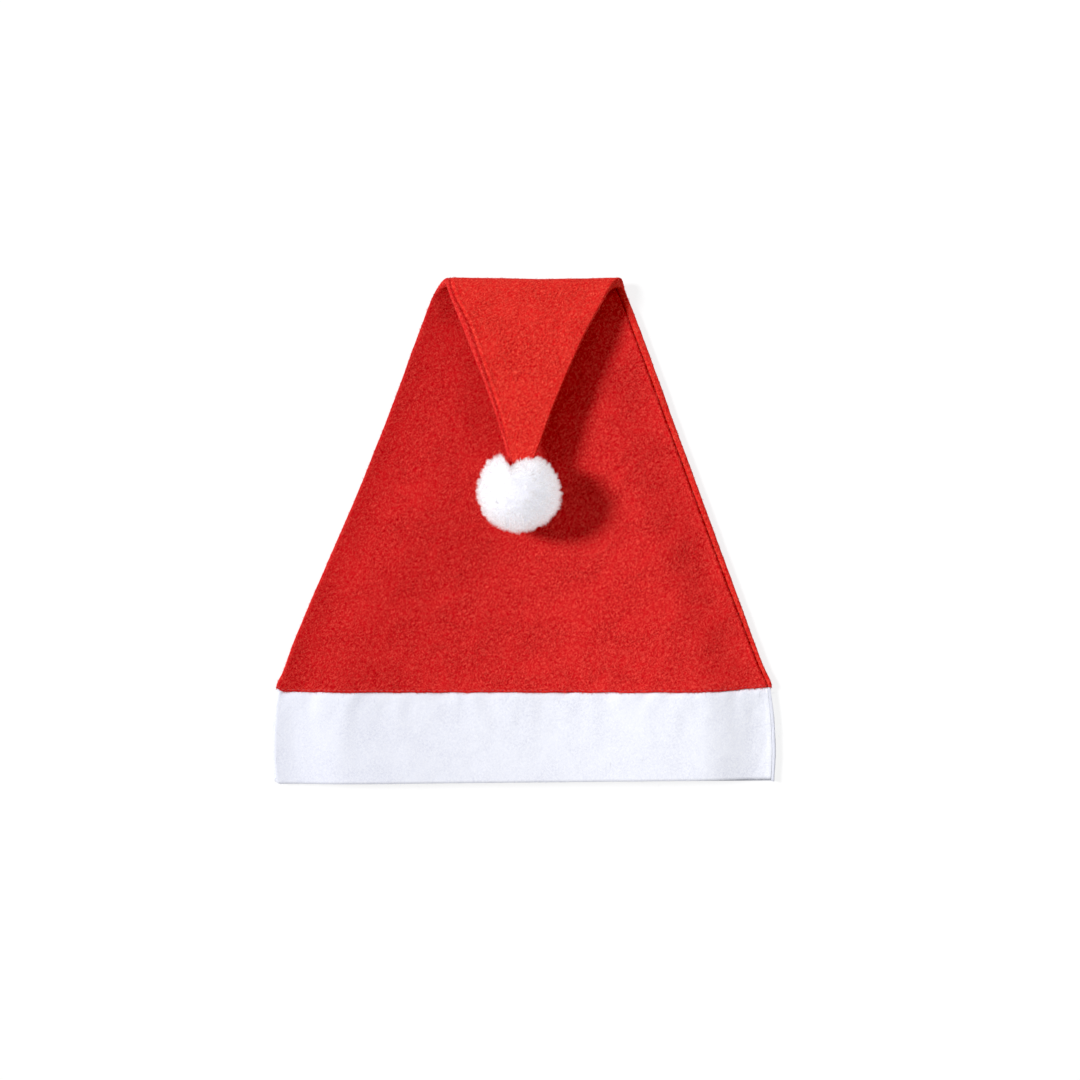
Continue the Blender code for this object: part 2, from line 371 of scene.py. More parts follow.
# %% [markdown]
# ## Lines round a section
# Each panel wraps round one side edge, so the two seams don't lie on the edges: the left seam
# is on the back, which faces up on the flap, and the right seam is on the front. How far each
# seam lies in from its edge changes along the hat, as the allowance inside is rolled more or
# less. A whole section is made as one loop of points x and depth, where depth runs from the
# back ply to the front ply, and each panel takes its share of it. The share is then read in
# steps along it, which are closer at its ends, where the seams need small forms.

# %% Lines of the two panels
ARC = np.linspace(0.0, math.pi, 17)
PLY_POINTS = 60
FINENESS = 5.0
FINE_REACH = 0.03
PACE_STEPS = 2001

Inset = namedtuple("Inset", "s inset")
LEFT_SEAM = (
    Inset(0.0, 2.0 * MM),
    Inset(FOLD_START, 3.6 * MM),
    Inset(FOLD_END - 6 * MM, 2.2 * MM),
    Inset(FOLD_END + 5 * MM, 2.6 * MM),
    Inset(FOLD_END + 20 * MM, 4.4 * MM),
    Inset(FOLD_END + 57 * MM, 2.8 * MM),
    Inset(FOLD_END + 84 * MM, 2.0 * MM),
)
RIGHT_SEAM = (
    Inset(0.0, 1.8 * MM),
    Inset(BAND_HEIGHT, 2.4 * MM),
    Inset(0.120, 3.4 * MM),
    Inset(FOLD_START, 4.4 * MM),
    Inset(TIP, 2.0 * MM),
)


def smooth(t):
    t = np.clip(t, 0.0, 1.0)
    return t * t * (3 - 2 * t)


def swell(t):
    """Like smooth, but its slope starts and ends so gently that the light shows no line there."""
    return t ** 3 * (t * (6 * t - 15) + 10)


def bell(distance, width):
    """1 at no distance, and falling softly to nothing at about twice the width."""
    return np.exp(-(distance / width) ** 2)


def inset_at(seam, s):
    return float(np.interp(s, [row.s for row in seam], [row.inset for row in seam]))


def section_loop(section):
    """Points round a section from the middle of the back ply, left side first, and the places
    along the loop of its left seam and its right seam."""
    radius = min(EDGE_HEIGHT, section.height) / 2
    pressed = smooth((section.s - FLATTER_FROM) / FLATTER_OVER)
    over_left = radius * (LEFT_ROUND_BODY + (LEFT_ROUND_FLAP - LEFT_ROUND_BODY) * pressed)
    over_right = radius * RIGHT_ROUND
    shoulder = min(SHOULDER, (section.right - section.left - 2 * radius) / 3)
    middle = (section.left + section.right) / 2
    flat_left, flat_right = section.left + over_left, section.right - over_right
    front_x = np.linspace(flat_left, flat_right, 2 * PLY_POINTS)[1:-1]
    inward = np.minimum(front_x - flat_left, flat_right - front_x)
    crowned = swell(np.clip(inward / shoulder, 0, 1))
    front_depth = 2 * radius + (section.height - 2 * radius) * crowned
    turn = 1 - np.sin(ARC)
    loop = np.vstack([
        [(middle, 0.0)],
        np.column_stack([section.left + over_left * turn, radius * (1 - np.cos(ARC))]),
        np.column_stack([front_x, front_depth]),
        np.column_stack([section.right - over_right * turn, radius * (1 + np.cos(ARC))]),
        [(middle, 0.0)],
    ])
    steps = np.linalg.norm(np.diff(loop, axis=0), axis=1)
    along = np.concatenate([[0.0], np.cumsum(steps)])
    leftmost = int(np.argmin(loop[:, 0]))
    rightmost = int(np.argmax(loop[:, 0]))
    left_x = section.left + inset_at(LEFT_SEAM, section.s)
    right_x = section.right - inset_at(RIGHT_SEAM, section.s)
    to_left = np.interp(-left_x, -loop[:leftmost + 1, 0], along[:leftmost + 1])
    over = slice(leftmost, rightmost + 1)
    to_right = np.interp(right_x, loop[over, 0], along[over])
    return loop, along, to_left, to_right


def right_gap(section):
    """The gap between the panels at the right seam: shut on the band, dark on the crown."""
    opened = smooth((section.s - BAND_HEIGHT) / GAP_OPENS_OVER)
    return LOOSE_GAP + (TIGHT_GAP - LOOSE_GAP) * opened


def front_span(section):
    """The front panel's part of a section's loop: its points, and where it starts and ends."""
    loop, along, to_left, to_right = section_loop(section)
    return loop, along, to_left + LOOSE_GAP / 2, to_right - right_gap(section) / 2


def back_span(section):
    """The back panel's part: on past the right seam, round the back, to the left seam."""
    loop, along, to_left, to_right = section_loop(section)
    twice = np.vstack([loop, loop[1:]])
    further = np.concatenate([along, along[1:] + along[-1]])
    return twice, further, to_right + right_gap(section) / 2, along[-1] + to_left - LOOSE_GAP / 2


def graded(count):
    """count + 1 shares from 0 to 1, in steps that are FINENESS times closer at both ends."""
    t = np.linspace(0.0, 1.0, PACE_STEPS)
    pace = 1 + (FINENESS - 1) * bell(np.minimum(t, 1 - t), FINE_REACH)
    total = np.concatenate([[0.0], np.cumsum((pace[1:] + pace[:-1]) / 2)])
    return np.interp(np.linspace(0.0, total[-1], count + 1), total, t)


def read_span(span, shares):
    """Points at those shares of a panel's span, and how far along it each one lies."""
    loop, along, start, end = span
    at = start + shares * (end - start)
    return np.column_stack([np.interp(at, along, loop[:, k]) for k in (0, 1)]), at - start


print("At the hem the left seam lies in by mm:", inset_at(LEFT_SEAM, 0.0) / MM)

# %% [markdown]
# ## Relief of the felt
# Pressed felt lies in soft waves a few centimetres long, with lumps of a few millimetres where
# the mat is uneven. Beside a seam it swells, and along the stitches it is drawn in. Where the
# crown overlaps the band, the red edge stands a little proud and wavy, and the white felt runs
# in under it with small puckers. All of this is worked out from the place on the cloth and
# added along the sheet's normal. Displace modifiers could do it too, but the seams need to know
# how far each point is from them.

# %% Relief values and functions
Relief = namedtuple("Relief", "size depth seed")
WAVES = (
    Relief(size=48 * MM, depth=0.55 * MM, seed=3.1),
    Relief(size=11 * MM, depth=0.14 * MM, seed=8.4),
    Relief(size=4 * MM, depth=0.10 * MM, seed=5.7),
)
SEAM_CALM = 4 * MM
SEAM_PULL = Relief(size=3.4 * MM, depth=1.3, seed=9.2)
SEAM_RIDGE_AT = 1.7 * MM
SEAM_RIDGE_WIDTH = 0.9 * MM

Seam = namedtuple("Seam", "groove width ridge")
TIGHT_SEAM = Seam(groove=0.85 * MM, width=0.60 * MM, ridge=0.16 * MM)
SOFT_SEAM = Seam(groove=0.42 * MM, width=0.9 * MM, ridge=0.30 * MM)
FLAT_SEAM = Seam(groove=0.08 * MM, width=0.6 * MM, ridge=0.02 * MM)


def wavy(across, along, relief):
    """Noise over the cloth, for arrays of places on it."""
    across, along = np.broadcast_arrays(across, along)
    heights = [noise.noise(Vector((u / relief.size, v / relief.size, relief.seed)))
               for u, v in zip(across.ravel(), along.ravel())]
    return relief.depth * np.array(heights).reshape(across.shape)


def soft_waves(across, along, seed):
    """The waves and lumps of a panel's felt, which calm down beside its two seams."""
    from_seam = np.minimum(across, across[:, -1:] - across)
    waves = sum(wavy(across, along, wave._replace(seed=wave.seed + seed)) for wave in WAVES)
    return waves * smooth(from_seam / SEAM_CALM)


def seam_relief(from_seam, along, seam):
    """The felt beside a side seam: drawn in at each stitch and swollen next to them."""
    pull = 1 + wavy(np.zeros_like(along), along, SEAM_PULL)
    groove = seam.groove * pull * bell(from_seam, seam.width)
    return seam.ridge * bell(from_seam - SEAM_RIDGE_AT, SEAM_RIDGE_WIDTH) - groove


print("Deepest wave in mm:", WAVES[0].depth / MM)

# %% [markdown]
# ## The line where the crown meets the band
# The crown's lower edge laps over the band and is stitched down. It is cut by hand, so it runs
# a little wavy, and it climbs towards the right side. Both sheets use the same line: the crown
# ends just below it, and the band runs up under it. At the rounded side edges there is no room
# inside, so there the red hardly flares out, and the white ends at the lap and isn't tucked in.

# %% Lap of the crown over the band
BAND_WIDTH = SECTIONS[1].right - SECTIONS[1].left
LAP_RISE = 0.5 * MM
LAP_CLIMB = 2.7 * MM
LAP_CLIMB_FROM = 0.098
LAP_WAVER = Relief(size=9 * MM, depth=0.45 * MM, seed=2.2)
LAP_SLOPE = 5 * MM
LAP_STITCH_ABOVE = 1.6 * MM
LAP_STITCH_ROOM = 0.55 * MM
PUCKER = Relief(size=8 * MM, depth=1.35 * MM, seed=6.6)
PUCKER_FROM = 3 * MM
PUCKER_REACH = 11 * MM
PUCKER_STRETCH = 2

Corner = namedtuple("Corner", "x rise width")
LAP_CORNER = Corner(x=-0.1410, rise=2.2 * MM, width=5.0 * MM)
HEM_CORNER = Corner(x=-0.1420, rise=1.5 * MM, width=3.5 * MM)

# How much the red flares out and the white is tucked in, by the way that the felt faces:
# down on the table, sideways, or up
FACING = (-1.0, -0.3, 0.0, 1.0)
FLARE = (0.0, 0.0, 0.05 * MM, 0.45 * MM)
TUCK = (1.7 * MM, 1.4 * MM, 1.3 * MM, 1.3 * MM)


def rounded(x, corner):
    """The rise of a cut line close to the hat's left edge, where its corner is rounded off."""
    return corner.rise * (1 - smooth((x - corner.x) / corner.width))


def lap_line(x):
    """How far the line where the crown meets the band lies above its mean place, at x."""
    climb = LAP_CLIMB * smooth((x - LAP_CLIMB_FROM) / (BAND_WIDTH / 2 - LAP_CLIMB_FROM))
    return climb + rounded(x, LAP_CORNER) + wavy(x, np.zeros_like(x), LAP_WAVER)


def hem_line(x, drop):
    """How far the hem lies above s = 0 at x: it climbs to the right."""
    return (HEM_RISE - drop) * (x / BAND_WIDTH + 0.5) + rounded(x, HEM_CORNER)


def pucker(across, from_lap):
    """Small gathers that the stitches pull into the felt, fading away from them."""
    fade = np.exp(-from_lap / PUCKER_REACH) * smooth(from_lap / PUCKER_FROM)
    return wavy(across, from_lap / PUCKER_STRETCH, PUCKER) * fade


print("The lap climbs by mm:", LAP_CLIMB / MM)

# %% [markdown]
# ## Laying a felt sheet
# A sheet starts as a flat bmesh grid, one column of faces for each step across the panel and
# one row for each step up the hat. Its vertices are then moved onto the hat, and its UV map
# keeps the distance across and along the cloth, in metres. A Solidify modifier gives the felt
# its thickness, inwards. Cloth simulation isn't used: felt this stiff keeps the folds that the
# sections describe, and simulated cloth would lose the fold's exact place.

# %% Build a sheet from rows of points
Sheet = namedtuple("Sheet", "piece points normals across along")


def mesh_of(name, shape):
    """A mesh from a finished bmesh, which is freed."""
    mesh = bpy.data.meshes.new(name)
    shape.to_mesh(mesh)
    shape.free()
    return mesh


def new_object(name, data):
    made = bpy.data.objects.new(name, data)
    bpy.context.scene.collection.objects.link(made)
    return made


def unit(vectors):
    return vectors / np.maximum(np.linalg.norm(vectors, axis=-1, keepdims=True), 1e-12)


def facing(points):
    """Outward normals of a grid of points, from its rows and columns."""
    return unit(np.cross(np.gradient(points, axis=1), np.gradient(points, axis=0)))


def felt_sheet(name, points, across, along, material):
    """A sheet of felt through a grid of points, with its UV map and its thickness."""
    rows, columns = across.shape
    shape = bmesh.new()
    bmesh.ops.create_grid(shape, x_segments=columns - 1, y_segments=rows - 1, size=0.5)
    mesh = mesh_of(name, shape)
    flat = np.zeros(3 * rows * columns, np.float32)
    mesh.vertices.foreach_get("co", flat)
    cells = (flat.reshape(-1, 3)[:, :2] + 0.5) * (columns - 1, rows - 1)
    column, row = np.rint(cells).astype(int).T
    mesh.vertices.foreach_set("co", points[row, column].astype(np.float32).ravel())
    corners = np.zeros(len(mesh.loops), np.int32)
    mesh.loops.foreach_get("vertex_index", corners)
    places = np.stack([across, along], axis=2)[row, column][corners]
    mesh.uv_layers.new(name="cloth").uv.foreach_set("vector", places.astype(np.float32).ravel())
    mesh.materials.append(material)
    mesh.shade_smooth()
    piece = new_object(name, mesh)
    wall = piece.modifiers.new("thickness", "SOLIDIFY")
    wall.thickness = FELT
    wall.offset = -1.0
    return Sheet(piece, points, facing(points), across, along)


def lay(span_of, stations, shares, shift):
    """Grids of x, depth, distance across and s for a panel whose rows lie at the stations."""
    lines = [read_span(span_of(section_at(s)), shares) for s in stations]
    x = np.array([line[:, 0] for line, _ in lines])
    depth = np.array([line[:, 1] for line, _ in lines])
    across = np.array([at for _, at in lines])
    along = np.array(stations)[:, None] + shift(x)
    return x, depth, across, along


def in_space(x, depth, along):
    """Points of the hat, and the outward normals of the sheet through them."""
    y, z, angle = np.moveaxis([[path_at(s) for s in row] for row in along], 2, 0)
    points = np.stack([x, y - depth * np.sin(angle), z + depth * np.cos(angle)], axis=2)
    return points, facing(points)


print("Felt thickness in mm:", FELT / MM)

# %% [markdown]
# ## The two crown panels
# Both panels run from the lap with the band to the tip, round the fold. They are laid with the
# same steps. The fold's crest dips a little between its two stiffer corners, where the seams
# are. Where the felt lies on the table it is flat, so no point goes below it. Only a narrow dent
# stays there, in which the stitches of the lap lie.

# %% Crown panels
CROWN_COLUMNS = 176
BODY_ROWS, FOLD_ROWS, FLAP_ROWS = 150, 30, 74
FOLD_CREST = FOLD_START + FOLD_RADIUS * math.pi / 2
FOLD_PRESS = 0.5 * MM
FOLD_DIP = 0.6 * MM
FOLD_SHIFT = 2.0 * MM
FOLD_SHIFT_REACH = 9 * MM
FOLD_DIP_X = -1.5 * MM
FOLD_DIP_WIDTH = 30 * MM
LAP_ROWS = (0.0, 0.6, 1.2, 2.0, 3.0, 4.2, 5.5)
LAP_FADE = 20 * MM
LAP_DENT_WIDTH = 1 * MM
CREST_FLAT = 7 * MM
TIP_FADE = 50 * MM
CROWN_PUCKER = 0.5

shares = graded(CROWN_COLUMNS)
lap_start = BAND_HEIGHT + LAP_RISE
stations = np.concatenate([
    lap_start + MM * np.array(LAP_ROWS[:-1]),
    np.linspace(lap_start + MM * LAP_ROWS[-1], FOLD_START, BODY_ROWS),
    np.linspace(FOLD_START, FOLD_END, FOLD_ROWS)[1:],
    np.linspace(FOLD_END, TIP, FLAP_ROWS)[1:],
])


def seam_fade(s):
    """How deep the seams are at s: flat on the fold's crest, and lost near the tip."""
    return (1 - bell(s - FOLD_CREST, CREST_FLAT)) * (1 - smooth((s - TIP) / TIP_FADE + 1))


def crown_panel(name, span_of, seams, seed, material):
    """One half of the crown, laid round the hat, with its seams, waves and lapped lower edge."""
    above_lap = stations - lap_start
    fade = 1 - smooth(above_lap / LAP_FADE)[:, None]
    x, depth, across, along = lay(span_of, stations, shares, lambda x: fade * lap_line(x))
    x = x + FOLD_SHIFT * bell(stations - FOLD_CREST, FOLD_SHIFT_REACH)[:, None]
    points, normals = in_space(x, depth, along)
    relief = soft_waves(across, along, seed)
    drawn_in = (seam_relief(across, along, seams[0])
                + seam_relief(across[:, -1:] - across, along, seams[1]))
    relief += drawn_in * seam_fade(stations)[:, None]
    lip = np.interp(normals[..., 2], FACING, FLARE) * bell(above_lap, LAP_SLOPE)[:, None]
    relief += lip - CROWN_PUCKER * pucker(across, above_lap[:, None])
    dip = FOLD_PRESS + FOLD_DIP * bell(x - FOLD_DIP_X, FOLD_DIP_WIDTH)
    points = points + normals * relief[..., None]
    points[..., 1] -= dip * smooth((points[..., 1] - FOLD_Y + 2 * FOLD_RADIUS) / FOLD_RADIUS)
    stitch_dent = LAP_STITCH_ROOM * bell(above_lap - LAP_STITCH_ABOVE, LAP_DENT_WIDTH)
    points[..., 2] = np.maximum(points[..., 2], stitch_dent[:, None])
    return felt_sheet(name, points, across, along + seed, material)


crown_front = crown_panel("crown_front_felt", front_span, (SOFT_SEAM, TIGHT_SEAM), 0.0, red_felt)
crown_back = crown_panel("crown_back_felt", back_span, (TIGHT_SEAM, SOFT_SEAM), 0.5,
                         painted_lighter_red_felt)
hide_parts("crown_front_panel")
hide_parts("crown_back_panel")
print("Points in a crown panel:", crown_front.across.size)

# %% [markdown]
# ## The band
# The band is a single ply of white felt in two halves, sewn into the same side seams. Its
# lower edge is a plain cut, and at the right the back half shows a little below the front one.
# Its upper edge runs in under the red.

# %% Band halves
BAND_COLUMNS = 190
BAND_ROWS = 34
BAND_TOP = BAND_HEIGHT + 2.4 * MM
SIDE_LOWER = 2.2 * MM
SIDE_FROM = 0.1365
SIDE_WIDTH = 2 * MM


def at_side(x):
    """1 beside the two side edges and 0 over the rest of the band."""
    return smooth((abs(x) - SIDE_FROM) / SIDE_WIDTH)


def band_half(name, span_of, drop, seed):
    """Half of the band, from the hem up to its edge under the crown."""
    share = np.linspace(0.0, 1.0, BAND_ROWS)[:, None]
    rows = share[:, 0] * BAND_TOP

    def edge_line(x):
        top = lap_line(x) - SIDE_LOWER * at_side(x)
        return (1 - share) * hem_line(x, drop) + share * top

    x, depth, across, along = lay(span_of, rows, graded(BAND_COLUMNS), edge_line)
    points, normals = in_space(x, depth, along)
    from_seam = np.minimum(across, across[:, -1:] - across)
    relief = soft_waves(across, along, seed) + seam_relief(from_seam, along, FLAT_SEAM)
    below_lap = (BAND_TOP - rows)[:, None]
    tuck = np.interp(normals[..., 2], FACING, TUCK) * (1 - at_side(x))
    relief -= tuck * (1 - smooth(below_lap / LAP_SLOPE))
    relief += pucker(across, below_lap)
    points = points + normals * relief[..., None]
    points[..., 2] = np.maximum(points[..., 2], 0.0)
    return felt_sheet(name, points, across, along + seed, white_felt)


band_front = band_half("band_front_felt", front_span, 0.0, 1.0)
band_back = band_half("band_back_felt", back_span, BACK_HEM_DROP, 1.5)
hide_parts("band_front")
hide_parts("band_back")
print("Points in a band half:", band_front.across.size)

# %% [markdown]
# ## Strands
# Stitches, loose fibres and plush are all the same thing at different sizes: a short length of
# filament, bent. One strand is a low cone with three or more sides, made by bmesh operators and
# cut across so that it can bend. Thousands of copies are then placed as arrays and joined in
# one mesh, which Blender holds far more easily than thousands of objects.

# %% Strand shape and placing


def strand_shape(sides, joints, tip_share):
    """A thin strand along Z from 0 to 1, 1 thick in radius, and able to bend at its joints."""
    shape = bmesh.new()
    bmesh.ops.create_cone(shape, cap_ends=True, segments=sides, radius1=1.0,
                          radius2=tip_share, depth=1.0)
    bmesh.ops.translate(shape, verts=shape.verts, vec=(0.0, 0.0, 0.5))
    for cut in range(1, joints + 1):
        bmesh.ops.bisect_plane(shape, geom=shape.verts[:] + shape.edges[:] + shape.faces[:],
                               plane_co=(0.0, 0.0, cut / (joints + 1)), plane_no=(0.0, 0.0, 1.0))
    if tip_share == 0.0:
        bmesh.ops.remove_doubles(shape, verts=shape.verts, dist=0.01)
    shape.verts.index_update()
    points = np.array([vert.co for vert in shape.verts])
    faces = [[vert.index for vert in face.verts] for face in shape.faces]
    shape.free()
    return points, faces


def strew(name, shape, roots, ways, bends, radii, material):
    """Copies of a strand in one mesh: each runs from its root along its way, and then bends."""
    points, faces = shape
    side = unit(np.cross(ways, bends + 1e-6))
    top = unit(np.cross(side, ways))
    t = points[:, 2]
    middle = roots[:, None] + ways[:, None] * t[:, None] + bends[:, None] * (t * t)[:, None]
    around = side[:, None] * points[:, 0, None] + top[:, None] * points[:, 1, None]
    placed = (middle + around * radii[:, None, None]).reshape(-1, 3)
    sizes = np.array([len(face) for face in faces])
    corners = np.concatenate(faces)
    first = len(points) * np.arange(len(roots))
    mesh = bpy.data.meshes.new(name)
    mesh.vertices.add(len(placed))
    mesh.loops.add(len(corners) * len(roots))
    mesh.polygons.add(len(faces) * len(roots))
    mesh.vertices.foreach_set("co", placed.astype(np.float32).ravel())
    every_corner = (corners[None] + first[:, None]).astype(np.int32)
    mesh.loops.foreach_set("vertex_index", every_corner.ravel())
    starts = np.concatenate([[0], np.cumsum(np.tile(sizes, len(roots)))[:-1]])
    mesh.polygons.foreach_set("loop_start", starts.astype(np.int32))
    mesh.update(calc_edges=True)
    mesh.validate()
    mesh.materials.append(material)
    mesh.shade_smooth()
    return new_object(name, mesh)


loose_fibre = strand_shape(sides=3, joints=3, tip_share=0.5)
stitch = strand_shape(sides=6, joints=5, tip_share=1.0)
pile_hair = strand_shape(sides=3, joints=1, tip_share=0.0)
print("Faces in a fibre, a stitch and a hair:",
      [len(shape[1]) for shape in (loose_fibre, stitch, pile_hair)])

# %% [markdown]
# ## Stitches
# The side seams are sewn from the inside. The right one is pulled tight, so its lockstitches
# show as dark threads at the bottom of the groove. The left one is looser and shows none. The
# lap is topstitched through the red felt, about 1.6 mm above its edge, in a thread that has
# taken up red lint, and it sinks into the pile. Each stitch is one arched strand that dips into
# the felt at both ends.

# %% Rows of stitches
STITCH_LENGTH = 3.0 * MM
STITCH_SHARE = 0.66
STITCH_ARCH = 0.3 * MM
SEAM_STITCH_RADIUS = 0.28 * MM
LAP_STITCH_RADIUS = 0.14 * MM


def picked(sheet, places):
    """The points and the normals at some places of a sheet's grid."""
    return sheet.points[places], sheet.normals[places]


def along_line(points, normals, spacing):
    """Places every so often along a line of points, with the normals there."""
    steps = np.linalg.norm(np.diff(points, axis=0), axis=1)
    along = np.concatenate([[0.0], np.cumsum(steps)])
    at = np.arange(spacing / 2, along[-1], spacing)
    return tuple(np.column_stack([np.interp(at, along, grid[:, k]) for k in range(3)])
                 for grid in (points, normals))


def stitch_row(name, points, normals, radius, material):
    """Arched stitches end to end along a line, sunk into the felt. None goes below the table."""
    places, outward = along_line(points, normals, STITCH_LENGTH)
    ahead = unit(np.gradient(places, axis=0)) * STITCH_LENGTH * STITCH_SHARE
    arch = outward * STITCH_ARCH
    roots = places - ahead / 2 - outward * radius
    lowest = np.minimum(roots[:, 2], (roots + ahead)[:, 2]) - radius - STITCH_ARCH / 4
    roots[:, 2] -= np.minimum(lowest, 0.0)
    return strew(name, stitch, roots, ahead + arch, -arch, np.full(len(roots), radius), material)


front_edge, back_edge = picked(crown_front, np.s_[:, -1]), picked(crown_back, np.s_[:, 0])
right_seam = (front_edge[0] + back_edge[0]) / 2, unit(front_edge[1] + back_edge[1])
stitches = [stitch_row("right_seam_stitches", *right_seam, SEAM_STITCH_RADIUS, seam_thread)]
lap_row = int(np.argmin(abs(stations - lap_start - LAP_STITCH_ABOVE)))
for label, sheet in (("front", crown_front), ("back", crown_back)):
    stitches.append(stitch_row("lap_stitches_" + label, *picked(sheet, lap_row),
                               LAP_STITCH_RADIUS, lap_thread))
print("Stitch rows:", [piece.name for piece in stitches])

# %% [markdown]
# ## Loose fibres
# Felt sheds short curled fibres, most of all from its cut and folded edges, and they are what
# makes its outline soft. They are strewn in two ways: over the face of the cloth, lying nearly
# flat, and along chosen edges, standing out from them. Real ones are 0.02 mm thick; these are
# drawn 0.2 mm thick to show at all.

# %% Strew loose fibres
FIBRE_RADIUS = 0.10 * MM
FIBRE_THICKNESS = (0.7, 1.3)
FIBRE_LENGTHS = (0.35, 1.0)
FIBRE_REACH = 0.8
FIBRE_CURL = 0.7
FIBRE_DROOP = 0.5
ROOT_DEPTH = 0.05 * MM
EDGE_DEPTH = 0.2 * MM
TUCKED_ROWS = 3
draw = np.random.default_rng(24)


def fibres_at(places, outward, lift, longest):
    """Roots, ways and bends of curled fibres at places on the felt."""
    count = len(places)
    sideways = unit(np.cross(outward, draw.normal(size=(count, 3))))
    length = longest * draw.uniform(*FIBRE_LENGTHS, (count, 1))
    ways = (sideways + outward * draw.uniform(0.0, lift, (count, 1))) * length * FIBRE_REACH
    curled = draw.uniform(-FIBRE_CURL, FIBRE_CURL, (count, 1))
    curl = unit(np.cross(ways, outward)) * curled * length
    drop = outward * length * draw.uniform(-lift, 0.1, (count, 1)) * FIBRE_DROOP
    return places - outward * ROOT_DEPTH, ways, curl + drop


def on_sheet(sheet, count):
    """Random places on a sheet, even over its area, with the normals there."""
    rows, columns = sheet.across.shape
    width = sheet.across[:, -1] - sheet.across[:, 0]
    row = np.interp(draw.random(count), np.cumsum(width) / width.sum(), np.arange(rows))
    column = draw.random(count) * (columns - 1)
    return picked(sheet, (np.rint(row).astype(int), np.rint(column).astype(int)))


def on_edge(line, count):
    """Random places just under the surface along a line of points, with the normals there."""
    points, normals = line
    pick = draw.integers(1, len(points), count)
    between = points[pick] + (points[pick - 1] - points[pick]) * draw.random((count, 1))
    sunk = abs(draw.normal(scale=EDGE_DEPTH, size=(count, 1)))
    return between - normals[pick] * sunk, normals[pick]


def side_column(sheet, direction, tucked=0):
    """The column of a sheet that lies furthest to one side in each row, but for its tucked rows."""
    best = np.argmax(direction * sheet.points[..., 0], axis=1)
    rows = np.arange(len(best) - tucked)
    return picked(sheet, (rows, best[rows]))


def strew_fibres(name, groups, material):
    """Fibres for groups of places, each with how far they may stand up and their longest. The
    few that would dip into the table are left out."""
    parts = [fibres_at(*places, lift, longest) for places, lift, longest in groups]
    roots, ways, bends = (np.concatenate(part) for part in zip(*parts))
    heights = [(roots + t * ways + t * t * bends)[:, 2] for t in np.linspace(0.0, 1.0, 7)]
    keep = np.min(heights, axis=0) > 2 * FIBRE_RADIUS
    roots, ways, bends = roots[keep], ways[keep], bends[keep]
    radii = FIBRE_RADIUS * draw.uniform(*FIBRE_THICKNESS, len(roots))
    return strew(name, loose_fibre, roots, ways, bends, radii, material)


crest_row = int(np.argmin(abs(stations - FOLD_CREST)))
red_fibres = strew_fibres("loose_red_fibres", (
    (on_sheet(crown_front, 700), 0.2, 2.6 * MM),
    (on_sheet(crown_back, 500), 0.2, 2.6 * MM),
    (on_edge(side_column(crown_front, -1), 900), 0.9, 1.5 * MM),
    (on_edge(side_column(crown_back, 1), 1100), 0.9, 1.5 * MM),
    (on_edge(picked(crown_back, crest_row), 420), 0.9, 1.3 * MM),
    (on_edge(picked(crown_front, 0), 640), 0.4, 1.5 * MM),
    (on_edge(picked(crown_back, 0), 300), 0.4, 1.5 * MM),
), red_fibre)
white_fibres = strew_fibres("loose_white_fibres", (
    (on_sheet(band_front, 90), 0.04, 6 * MM),
    (on_sheet(band_back, 90), 0.04, 6 * MM),
    (on_edge(picked(band_front, 0), 260), 0.5, 1.2 * MM),
    (on_edge(picked(band_back, 0), 200), 0.5, 1.2 * MM),
    (on_edge(side_column(band_front, -1, TUCKED_ROWS), 120), 0.5, 1.2 * MM),
    (on_edge(side_column(band_back, 1, TUCKED_ROWS), 120), 0.5, 1.2 * MM),
), white_fibre)
print("Loose fibre faces:", len(red_fibres.data.polygons), len(white_fibres.data.polygons))

# %% [markdown]
# ## The plush ball
# The ball is a disc of white plush, gathered round stuffing and sewn to the tip. The tip parts
# the pile where it goes in, which leaves a cleft at the top, steep on its left and shallow on
# its right. The body under the pile is an icosphere, pushed in and out by a formula, and the
# pile on it is eighteen thousand tapered hairs that lean together in soft locks. Blender's own
# hair would render too, but it isn't a mesh and couldn't be exported as one.

# %% Shape of the ball
ball_low, ball_high = (np.array(corner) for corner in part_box("pompom"))
ball_middle, ball_half = (ball_low + ball_high) / 2, (ball_high - ball_low) / 2
PILE = 3.4 * MM
BALL_LUMPS = Relief(size=0.55, depth=0.035, seed=4.0)
CLEFT_DEPTH = 0.36
CLEFT_AZIMUTH = 21 * DEG
LOBE_HEIGHT = 0.06
LOBE_AZIMUTH = 40 * DEG
LOBE_WIDTH = 20 * DEG
CLEFT_LEFT = 4 * DEG
CLEFT_RIGHT = 52 * DEG
CLEFT_LOW = -38 * DEG
CLEFT_FULL = (-14 * DEG, 30 * DEG)
CLEFT_HIGH = 66 * DEG


def azimuth_of(ways):
    """The angle of each way from the top of the picture, growing to the left."""
    return np.arctan2(-ways[:, 0], ways[:, 1])


def cleft(ways):
    """How far the cleft round the tip goes in, from 0 to 1, in each way from the middle."""
    azimuth = azimuth_of(ways) - CLEFT_AZIMUTH
    rise = np.arcsin(np.clip(ways[:, 2], -1, 1))
    sideways = np.where(azimuth > 0, 1 - smooth(azimuth / CLEFT_LEFT),
                        1 - np.clip(-azimuth / CLEFT_RIGHT, 0, 1))
    upright = np.interp(rise, (CLEFT_LOW, *CLEFT_FULL, CLEFT_HIGH), (0.0, 1.0, 1.0, 0.0))
    return sideways * smooth(upright)


